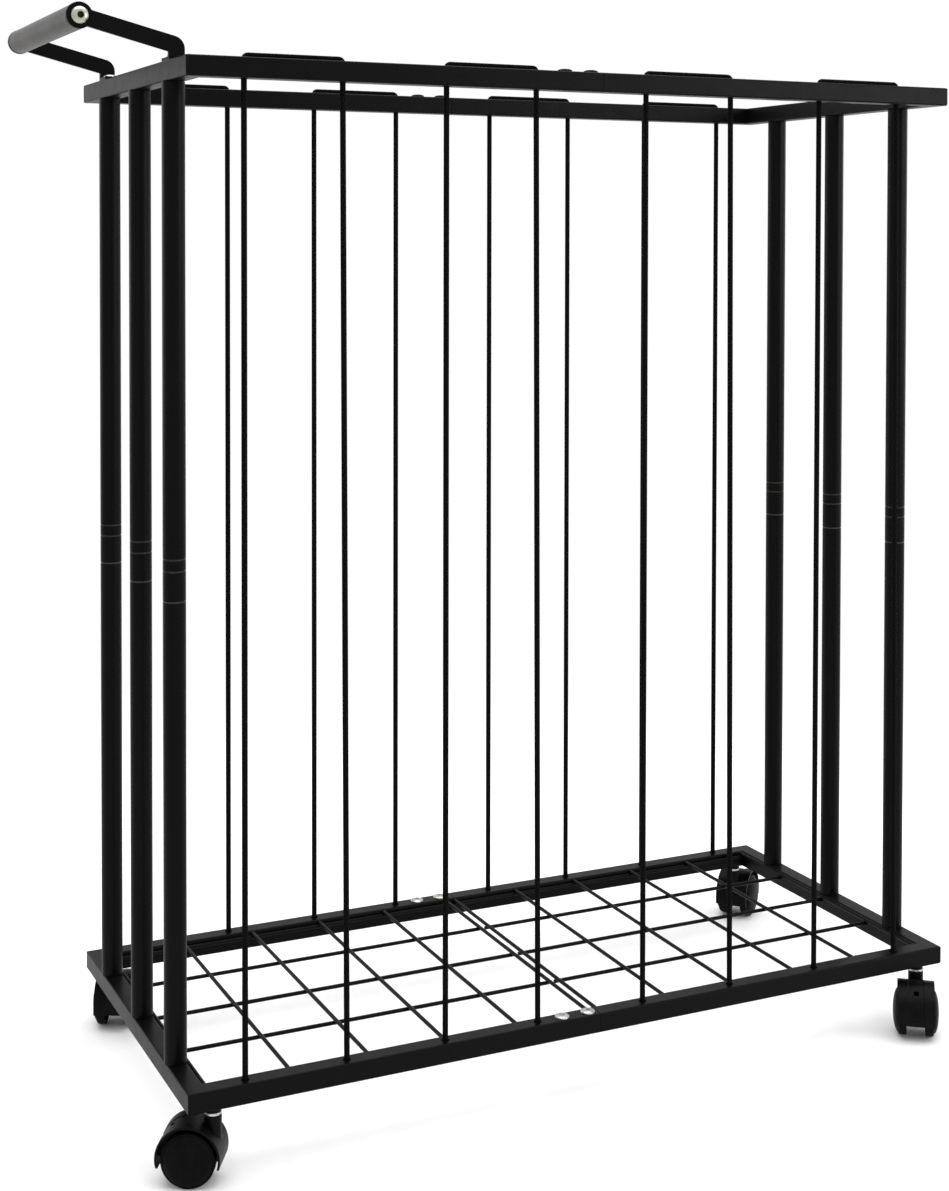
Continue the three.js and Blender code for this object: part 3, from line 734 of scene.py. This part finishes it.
gridForm = {"radius": 2 * mm, "sides": 16, "crossCount": 6, "crossPitch": 78 * mm, "longCount": 5,
            "edgeInset": 2.3 * mm, "topGap": 2.4 * mm, "lap": 0.4 * mm}


def makeFloorGrid(side):
    node = f"floor_grid_{side}"
    low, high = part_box(node)
    radius, edge, facets = (gridForm[k] for k in ("radius", "edgeInset", "sides"))
    inward = 1 if side == "left" else -1
    edgeX = low.x + edge if side == "left" else high.x - edge
    seamX = high.x - radius if side == "left" else low.x + radius
    upperZ = high.z - gridForm["topGap"]
    lowerZ = upperZ - 2 * radius + gridForm["lap"]
    columns = [edgeX] + [seamX - inward * i * gridForm["crossPitch"]
                         for i in range(gridForm["crossCount"] - 1)]
    crossWires = [addCylinder("wire", radius, low.y, high.y, (x, 0, upperZ), 'Y', facets)
                  for x in columns]
    frontY = low.y + edge
    pitch = (high.y - edge - frontY) / (gridForm["longCount"] - 1)
    longWires = [addCylinder("wire", radius, low.x, high.x, (0, frontY + i * pitch, lowerZ),
                             'X', facets)
                 for i in range(gridForm["longCount"])]
    grid = crossWires[0]
    combine(grid, joinAll(crossWires[1:], "crossWires"), 'UNION')
    combine(grid, joinAll(longWires, "longWires"), 'UNION')
    nameNew(node + "_wires")
    smoothFaces(grid, 35)
    return grid


for side in sides:
    finishPiece(makeFloorGrid(side), satinPowderCoat, "frame", f"floor_grid_{side}", slot="black_paint")
print("floor grids made")


# screws and bolts

screwForm = {"radius": 7.25 * mm, "height": 2.6 * mm, "shank": 3 * mm, "crossReach": 3.4 * mm,
             "crossWidth": 1.3 * mm, "crossDepth": 1.6 * mm, "crossTaper": 0.55, "length": 9 * mm}
tabBoltForm = {"radius": 6 * mm, "height": 2.8 * mm, "shank": 3 * mm, "socket": 4 * mm,
               "socketDepth": 1.8 * mm, "length": 14 * mm}
gripBoltForm = {"radius": 7.9 * mm, "height": 4.4 * mm, "shank": 4 * mm, "socket": 5 * mm,
                "socketDepth": 2.6 * mm}
headDome = {"steps": 7, "rimShare": 0.3, "angle": math.radians(62)}


def makeHead(name, form, length):
    # shank and domed head with the seat at z = 0
    head = addCylinder(name, form["shank"], -length, 0, (0, 0, 0))
    pickFacing(head, up)
    extrude()
    widen(form["radius"] / form["shank"], (0, 0, 0))
    rim = form["height"] * headDome["rimShare"]
    extrude(z=rim)
    reach, height = 1, rim
    for step in range(1, headDome["steps"] + 1):
        angle = step / headDome["steps"] * headDome["angle"]
        newReach = math.cos(angle)
        newHeight = rim + (form["height"] - rim) * math.sin(angle) / math.sin(headDome["angle"])
        extrude(z=newHeight - height)
        widen(newReach / reach, (0, 0, newHeight))
        reach, height = newReach, newHeight
    leaveEdit()
    faceOutwards(head)
    return head


def cutCross(head, form):
    reach, half, top = form["crossReach"], form["crossWidth"] / 2, form["height"]
    foot = top - form["crossDepth"]
    first = addBlock("slot", (-reach, -half, foot), (reach, half, top + overrun))
    second = addBlock("slot", (-half, -reach, foot), (half, reach, top + overrun))
    combine(first, second, 'UNION')
    pick(first, 'VERT', lambda co, normal: co.z < foot + form["crossDepth"] / 2)
    widen(form["crossTaper"], (0, 0, foot))
    leaveEdit()
    combine(head, first, 'DIFFERENCE')


def socketRadius(form):
    # to the corners of a hexagon with this distance between its flats
    return form["socket"] / 2 / math.cos(math.pi / 6)


def cutHexagon(head, form):
    top = form["height"]
    combine(head, addCylinder("socket", socketRadius(form), top - form["socketDepth"],
                              top + overrun, (0, 0, 0), sides=6), 'DIFFERENCE')


def placeHead(pattern, form, node, turn, finish):
    low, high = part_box(node)
    middle = (low + high) / 2
    head = copyTo(pattern, node + "_head", (middle.x, middle.y, high.z - form["height"]),
                  math.radians(turn))
    finishPiece(head, finish, "frame", node, slot="bright_steel")


def makeJointScrews():
    pattern = makeHead("screwPattern", screwForm, screwForm["length"])
    cutCross(pattern, screwForm)
    smoothFaces(pattern, 35)
    turns = {"bottom_front_1": 20, "bottom_front_2": 65, "bottom_back_1": 40, "bottom_back_2": 8,
             "top_front_1": 55, "top_front_2": 12, "top_back_1": 75, "top_back_2": 33}
    for name, turn in turns.items():
        finish = darkTopZinc if name.startswith("top") else zincPlate
        placeHead(pattern, screwForm, f"joint_screw_{name}", turn, finish)
    bpy.data.objects.remove(pattern)


def makeTabBolts():
    pattern = makeHead("tabBoltPattern", tabBoltForm, tabBoltForm["length"])
    cutHexagon(pattern, tabBoltForm)
    smoothFaces(pattern, 35)
    for row, turn in (("front", 14), ("back", 41)):
        placeHead(pattern, tabBoltForm, f"handle_tab_bolt_{row}", turn, zincPlate)
    bpy.data.objects.remove(pattern)


def makeGripBolt():
    node = "handle_grip_bolt"
    low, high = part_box(node)
    middle, seatY = (low + high) / 2, low.y + gripBoltForm["height"]
    bolt = makeHead(node + "_head", gripBoltForm, high.y - seatY)
    cutHexagon(bolt, gripBoltForm)
    smoothFaces(bolt, 35)
    bolt.rotation_euler = (math.pi / 2, 0, 0)
    bolt.location = (middle.x, seatY, middle.z)
    bakePlace(bolt)
    steel = makeBoltSteel(middle, socketRadius(gripBoltForm))
    finishPiece(bolt, steel, "frame", node, slot="bright_steel")


makeJointScrews()
makeTabBolts()
makeGripBolt()
print("screws and bolts made")


# handle: two slanted flat arms and a round grip

armForm = {"width": 15.1 * mm, "thickness": 4 * mm, "slope": 14.2, "elbow": 12 * mm,
           "elbowSteps": 10, "eyeRadius": 12 * mm, "eyeSteps": 40, "tabReach": 24 * mm,
           "tabThickness": 3 * mm, "boltHole": 4.3 * mm, "boltReach": 10 * mm, "edge": 0.7 * mm}


def makeArm(row):
    node = f"handle_arm_{row}"
    low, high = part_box(node)
    half = armForm["width"] / 2
    slope = math.radians(armForm["slope"])
    inward = 1 if row == "front" else -1
    outerY = low.y if row == "front" else high.y
    outerX, innerX = high.x, high.x - armForm["width"]
    eye = middleOf("handle_grip")
    eye.y = outerY
    along = Vector((math.cos(slope), 0, -math.sin(slope)))
    above = Vector((math.sin(slope), 0, math.cos(slope)))

    def edgePoint(offset, x):
        start = eye + above * offset
        return start + along * ((x - start.x) / along.x)

    elbow = armForm["elbow"]
    bendZ = edgePoint(half, outerX).z - elbow * math.tan((math.pi / 2 - slope) / 2)
    elbowMiddle = Vector((outerX - elbow, outerY, bendZ))
    innerCorner = edgePoint(-half, innerX)
    spread = math.asin(half / armForm["eyeRadius"])
    neck = along * math.cos(spread) * armForm["eyeRadius"]

    # three sides of a plane are the foot, and the outline is drawn on from their two ends
    bpy.ops.object.select_all(action='DESELECT')
    bpy.ops.mesh.primitive_plane_add(size=1, location=(outerX - half, outerY, (low.z + bendZ) / 2),
                                     rotation=(math.pi / 2, 0, 0))
    arm = nameNew(node + "_bar")
    arm.scale = (armForm["width"], bendZ - low.z, 1)
    bakePlace(arm)
    pick(arm, 'EDGE', lambda middle, direction: middle.z > bendZ - sameSpot)
    bpy.ops.mesh.delete(type='EDGE')
    leaveEdit()
    pick(arm, 'VERT', lambda co, normal: co.z > bendZ - sameSpot and co.x < outerX - half)
    bpy.ops.transform.translate(value=(0, 0, innerCorner.z - bendZ))
    leaveEdit()
    pickPoint(arm, (outerX, outerY, bendZ))
    bpy.ops.mesh.spin(steps=armForm["elbowSteps"], angle=math.pi / 2 - slope, center=elbowMiddle,
                      axis=(0, 1, 0))
    leaveEdit()
    arcEnd = elbowMiddle + above * elbow
    pickPoint(arm, arcEnd)
    bpy.ops.mesh.extrude_vertices_move(
        TRANSFORM_OT_translate={"value": eye + above * half + neck - arcEnd})
    bpy.ops.mesh.spin(steps=armForm["eyeSteps"], angle=2 * math.pi - 2 * spread, center=eye,
                      axis=(0, 1, 0))
    bpy.ops.mesh.extrude_vertices_move(
        TRANSFORM_OT_translate={"value": innerCorner - (eye - above * half + neck)})
    bpy.ops.mesh.select_all(action='SELECT')
    bpy.ops.mesh.remove_doubles(threshold=sameSpot)
    bpy.ops.mesh.edge_face_add()
    extrude(y=inward * armForm["thickness"])
    leaveEdit()
    faceOutwards(arm)
    return addTab(arm, row, low, outerX, outerY, inward)


def addTab(arm, row, low, outerX, outerY, inward):
    near, far = sorted((outerY, outerY + inward * armForm["tabReach"]))
    tab = addBlock("tab", (outerX - armForm["width"], near, low.z),
                   (outerX, far, low.z + armForm["tabThickness"]))
    combine(arm, tab, 'UNION')
    eye, reach = middleOf("handle_grip"), armForm["boltReach"]
    combine(arm, addCylinder("boltHole", armForm["boltHole"], outerY - reach, outerY + reach, eye,
                             axis='Y', sides=32), 'DIFFERENCE')
    softenEdges(arm, armForm["edge"], 3, 50)
    smoothFaces(arm, 35)
    finishPiece(arm, satinPowderCoat, "frame", f"handle_arm_{row}", slot="black_paint")


gripForm = {"edge": 1.2 * mm, "sides": 72}


def makeGrip():
    node = "handle_grip"
    low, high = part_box(node)
    middle = (low + high) / 2
    grip = addCylinder(node + "_tube", (high.z - low.z) / 2, low.y, high.y, (middle.x, 0, middle.z),
                       axis='Y', sides=gripForm["sides"])
    softenEdges(grip, gripForm["edge"], 4, 60)
    smoothFaces(grip, 30)
    finishPiece(grip, satinGripFinish, "frame", node, slot="satin_grip")


for row in rows:
    makeArm(row)
makeGrip()
print("handle made")


# casters, each modelled once with its stem on the Z axis and its wheels trailing towards +X

hoodForm = {"outerRadius": 29.8 * mm, "innerRadius": 27.8 * mm, "lift": 1.4 * mm,
            "halfWidth": 19.2 * mm, "tip": 15.5, "edge": 0.5 * mm,
            "bandHalfWidth": 8.2 * mm, "bandRise": 0.6 * mm, "bandSlope": 0.4 * mm, "bandEnd": 96,
            "window": 5 * mm, "windowDepth": 6 * mm, "windowAngle": 53,
            "ribCount": 4, "ribAngle": 12, "ribPitch": 5.5, "ribSink": 0.9 * mm,
            "ribSize": (1.6 * mm, 10 * mm, 0.9 * mm), "hollowOverrun": 5 * mm,
            "webHalfWidth": 9.3 * mm, "webHub": 9 * mm, "webLap": 0.5 * mm, "socketRadius": 8 * mm,
            "socketFoot": 30 * mm, "socketTop": 61 * mm, "socketEdge": 0.8 * mm, "boreFoot": 38 * mm}
wheelForm = {"radius": 25 * mm, "innerFace": 10 * mm, "treadEdge": 17.2 * mm, "axle": 25 * mm,
             "sides": 96}
# rings of the wheel's outer face: radius, and distance from the middle of the caster
wheelDome = [(24.85, 17.7), (24.45, 18.15), (23.9, 18.45), (23.3, 18.65), (22.95, 18.45), (22.6, 18.65),
             (21.5, 19.9), (20, 20.9), (18, 21.75), (15, 22.6), (12, 23.2), (8, 23.65), (4, 23.92)]
# rings of its hollow inner face, round the hub and the axle's bore: radius, and depth
wheelHollow = [(22.5, 0), (22, 5), (9.4, 5), (9, 0.2), (3.3, 0.2), (3.3, 9)]
stemForm = {"pin": 4 * mm, "collar": 7.8 * mm, "collarHeight": 2.6 * mm, "bush": 7.5 * mm,
            "gap": 0.3 * mm, "collarEdge": 0.5 * mm, "bushEdge": 0.4 * mm}


def casterTrail():
    stem, axle = middleOf("caster_front_left_stem"), middleOf("caster_front_left_axle")
    return (axle - stem).xy.length


def makeHood():
    trail, axleZ = casterTrail(), wheelForm["axle"]
    archZ = axleZ + hoodForm["lift"]
    width, outer = hoodForm["halfWidth"], hoodForm["outerRadius"]
    hood = addCylinder("hoodPattern", outer, -width, width, (trail, 0, archZ), axis='Y', sides=120)
    editAll(hood)
    tipZ = archZ - outer * math.sin(math.radians(hoodForm["tip"]))
    sliceAt((0, 0, tipZ), up, use_fill=True, clear_inner=True)
    for y in (-hoodForm["bandHalfWidth"], hoodForm["bandHalfWidth"]):
        sliceAt((0, y, 0), (0, 1, 0))
    leaveEdit()

    def onBand(centre, normal):
        angle = math.degrees(math.atan2(centre.z - archZ, centre.x - trail))
        onRim = (centre - Vector((trail, centre.y, archZ))).length > outer * 0.95
        inBand = abs(normal.y) < 0.1 and abs(centre.y) < hoodForm["bandHalfWidth"]
        return onRim and inBand and -hoodForm["tip"] < angle < hoodForm["bandEnd"]

    pick(hood, 'FACE', onBand)
    bpy.ops.mesh.inset(thickness=hoodForm["bandSlope"], depth=-hoodForm["bandRise"])
    leaveEdit()
    past = width + hoodForm["hollowOverrun"]
    inner = addCylinder("hoodHollow", hoodForm["innerRadius"], -past, past, (trail, 0, archZ),
                        axis='Y', sides=96)
    combine(hood, inner, 'DIFFERENCE')
    softenEdges(hood, hoodForm["edge"], 3, 55)
    combine(hood, makeHoodWeb(trail, axleZ, archZ), 'UNION')
    socket = addCylinder("socket", hoodForm["socketRadius"], hoodForm["socketFoot"],
                         hoodForm["socketTop"], (0, 0, 0))
    softenEdges(socket, hoodForm["socketEdge"], 3, 60)
    combine(hood, socket, 'UNION')
    combine(hood, makeWindow(trail, archZ), 'DIFFERENCE')
    combine(hood, makeRibs(trail, archZ), 'UNION')
    stemBore = addCylinder("stemBore", stemForm["pin"] + stemForm["gap"], hoodForm["boreFoot"],
                           hoodForm["socketTop"] + overrun, (0, 0, 0), sides=32)
    combine(hood, stemBore, 'DIFFERENCE')
    smoothFaces(hood, 35)
    return hood


def makeHoodWeb(trail, axleZ, archZ):
    half = hoodForm["webHalfWidth"]
    web = addCylinder("web", hoodForm["innerRadius"] + hoodForm["webLap"], -half, half,
                      (trail, 0, archZ), axis='Y', sides=96)
    editAll(web)
    sliceAt((0, 0, axleZ), up, use_fill=True, clear_inner=True)
    leaveEdit()
    hub = addCylinder("hub", hoodForm["webHub"], -half, half, (trail, 0, axleZ), axis='Y')
    combine(web, hub, 'UNION')
    return web


def turnedBlock(name, trail, archZ, angle, radius, size):
    # a block on the hood's outside, its own X pointing away from the axle
    low = Vector((radius - size[0] / 2, -size[1] / 2, -size[2] / 2))
    block = addBlock(name, low, low + Vector(size))
    block.rotation_euler = (0, -math.radians(angle), 0)
    block.location = (trail, 0, archZ)
    bakePlace(block)
    return block


def makeWindow(trail, archZ):
    size = hoodForm["window"]
    return turnedBlock("window", trail, archZ, hoodForm["windowAngle"], hoodForm["outerRadius"],
                       (2 * hoodForm["windowDepth"], size, size))


def makeRibs(trail, archZ):
    radius = hoodForm["outerRadius"] - hoodForm["ribSink"]
    angles = [hoodForm["ribAngle"] - i * hoodForm["ribPitch"] for i in range(hoodForm["ribCount"])]
    return joinAll([turnedBlock("rib", trail, archZ, angle, radius, hoodForm["ribSize"])
                    for angle in angles], "ribs")


def makeWheel():
    # facing +Y, with the middle of its caster's axle over the origin
    axleZ, radius = wheelForm["axle"], wheelForm["radius"]
    low, high = wheelForm["innerFace"], wheelForm["treadEdge"]
    wheel = addCylinder("wheelPattern", radius, low, high, (0, 0, axleZ), 'Y', wheelForm["sides"])

    def drawRings(way, y, rings):
        pickFacing(wheel, way)
        lastRadius = radius
        for newRadius, newY in rings:
            extrude(y=newY - y)
            widen(newRadius / lastRadius, (0, newY, axleZ), 'Y')
            lastRadius, y = newRadius, newY
        leaveEdit()

    drawRings((0, 1, 0), high, [(r * mm, y * mm) for r, y in wheelDome])
    drawRings((0, -1, 0), low, [(r * mm, low + depth * mm) for r, depth in wheelHollow])
    faceOutwards(wheel)
    smoothFaces(wheel, 32)
    return wheel


def makeStem():
    # the pin with its collar, and the dark bush between the collar and the rail
    low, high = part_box("caster_front_left_stem")
    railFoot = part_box("bottom_frame_left")[0].z
    collarFoot = hoodForm["socketTop"] + stemForm["gap"]
    collarTop = collarFoot + stemForm["collarHeight"]
    pin = addCylinder("stemPattern", stemForm["pin"], low.z, high.z, (0, 0, 0), sides=40)
    collar = addCylinder("collar", stemForm["collar"], collarFoot, collarTop, (0, 0, 0), sides=56)
    softenEdges(collar, stemForm["collarEdge"], 3, 60)
    combine(pin, collar, 'UNION')
    smoothFaces(pin, 35)
    bush = addCylinder("bushPattern", stemForm["bush"], collarTop, railFoot, (0, 0, 0), sides=56)
    hollowThrough(bush, stemForm["bush"] - stemForm["pin"], up, down)
    softenEdges(bush, stemForm["bushEdge"], 3, 60)
    smoothFaces(bush, 35)
    return pin, bush


def makeCasters():
    hoodPattern, wheelPattern = makeHood(), makeWheel()
    stemPattern, bushPattern = makeStem()
    trail = casterTrail()
    for row, side in corners:
        name = f"{row}_{side}"
        stem, axle = middleOf(f"caster_{name}_stem"), middleOf(f"caster_{name}_axle")
        heading = math.atan2(axle.y - stem.y, axle.x - stem.x)
        place = (stem.x, stem.y, 0)
        hood = copyTo(hoodPattern, f"caster_{name}_hood_cover", place, heading)
        finishPiece(hood, hoodPlastic, f"swivel_{name}", f"caster_{name}_hood", slot="black_plastic")
        stemPiece = copyTo(stemPattern, f"caster_{name}_stem_pin", place, heading)
        finishPiece(stemPiece, zincPlate, "frame", f"caster_{name}_stem", slot="bright_steel")
        bush = copyTo(bushPattern, f"caster_{name}_stem_bush", place)
        finishPiece(bush, hoodPlastic, "frame", slot="black_plastic")
        for letter in ("a", "b"):
            wheelPlace = middleOf(f"caster_{name}_wheel_{letter}")
            faces = math.atan2(wheelPlace.y - axle.y, wheelPlace.x - axle.x) - math.pi / 2
            node = f"caster_{name}_wheel_{letter}"
            wheel = copyTo(wheelPattern, node + "_disc", (axle.x, axle.y, 0), faces)
            finishPiece(wheel, wheelPlastic, f"wheel_{name}_{letter}", node, slot="black_plastic")
    for pattern in (hoodPattern, wheelPattern, stemPattern, bushPattern):
        bpy.data.objects.remove(pattern)


makeCasters()
for row, side in corners:
    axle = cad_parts[f"caster_{row}_{side}_axle"]
    axle.data.materials.clear()
    axle.data.materials.append(zincPlate)
print("casters made")


# floor, background and light

stageLook = {"floor": (0.93, 0.93, 0.93), "floorSize": 12, "floorDrop": 0.2 * mm,
             "fade": (0.8, 1.8), "worldLight": 0.7}


def whiteForCamera(tree):
    # 1 where the camera, a mirror or glass looks straight at the background
    rays = addNode(tree, "ShaderNodeLightPath").outputs
    seen = calculate(tree, 'MAXIMUM', rays["Is Camera Ray"], rays["Is Glossy Ray"])
    return calculate(tree, 'MAXIMUM', seen, rays["Is Transmission Ray"])


def makeFloor():
    bpy.ops.object.select_all(action='DESELECT')
    bpy.ops.mesh.primitive_plane_add(size=stageLook["floorSize"],
                                     location=(0, 0, -stageLook["floorDrop"]))
    floor = nameNew("paleFloor")
    finish, tree, shader = newFinish("paleFloor", stageLook["floor"], 0.9, specular=0.1)
    away = addNode(tree, "ShaderNodeVectorMath", operation='LENGTH')
    tree.links.new(objectPlace(tree), away.inputs[0])
    fade = mapRange(tree, away.outputs["Value"], stageLook["fade"], interpolation='SMOOTHSTEP')
    share = calculate(tree, 'MULTIPLY', fade, whiteForCamera(tree))
    white = addNode(tree, "ShaderNodeEmission")
    blend = addNode(tree, "ShaderNodeMixShader")
    tree.links.new(share, blend.inputs["Fac"])
    tree.links.new(shader.outputs["BSDF"], blend.inputs[1])
    tree.links.new(white.outputs["Emission"], blend.inputs[2])
    tree.links.new(blend.outputs["Shader"], tree.nodes["Material Output"].inputs["Surface"])
    floor.data.materials.append(finish)


def makeWorld():
    world = bpy.data.worlds.new("studio")
    scene.world = world
    world.use_nodes = True
    tree = world.node_tree
    background = tree.nodes["Background"]
    background.inputs["Color"].default_value = (1, 1, 1, 1)
    strength = mapRange(tree, whiteForCamera(tree), after=(stageLook["worldLight"], 1))
    tree.links.new(strength, background.inputs["Strength"])


lamps = {
    "backLeftSoftbox": {"location": (-2.6, 3.1, 1.0), "aim": (0.2, 0, 0.8), "size": 1.3, "power": 16},
    "rightSoftbox": {"location": (2.7, 0.0, 1.0), "aim": (0, 0, 0.6), "size": 1.3, "power": 10},
    "frontRightSoftbox": {"location": (2.0, -2.1, 1.2), "aim": (0.2, 0, 0.9), "size": 1.1, "power": 26},
    "topSoftbox": {"location": (0.0, 0.0, 3.4), "aim": (0, 0, 0), "size": 4.0, "power": 130},
}


def addLamps():
    for name, look in lamps.items():
        data = bpy.data.lights.new(name, 'AREA')
        data.shape = 'SQUARE'
        data.size = look["size"]
        data.energy = look["power"]
        lamp = bpy.data.objects.new(name, data)
        scene.collection.objects.link(lamp)
        lamp.location = look["location"]
        towards = Vector(look["aim"]) - Vector(look["location"])
        lamp.rotation_euler = towards.to_track_quat('-Z', 'Y').to_euler()


makeFloor()
makeWorld()
addLamps()
scene.view_settings.view_transform = 'Standard'
print("stage made")
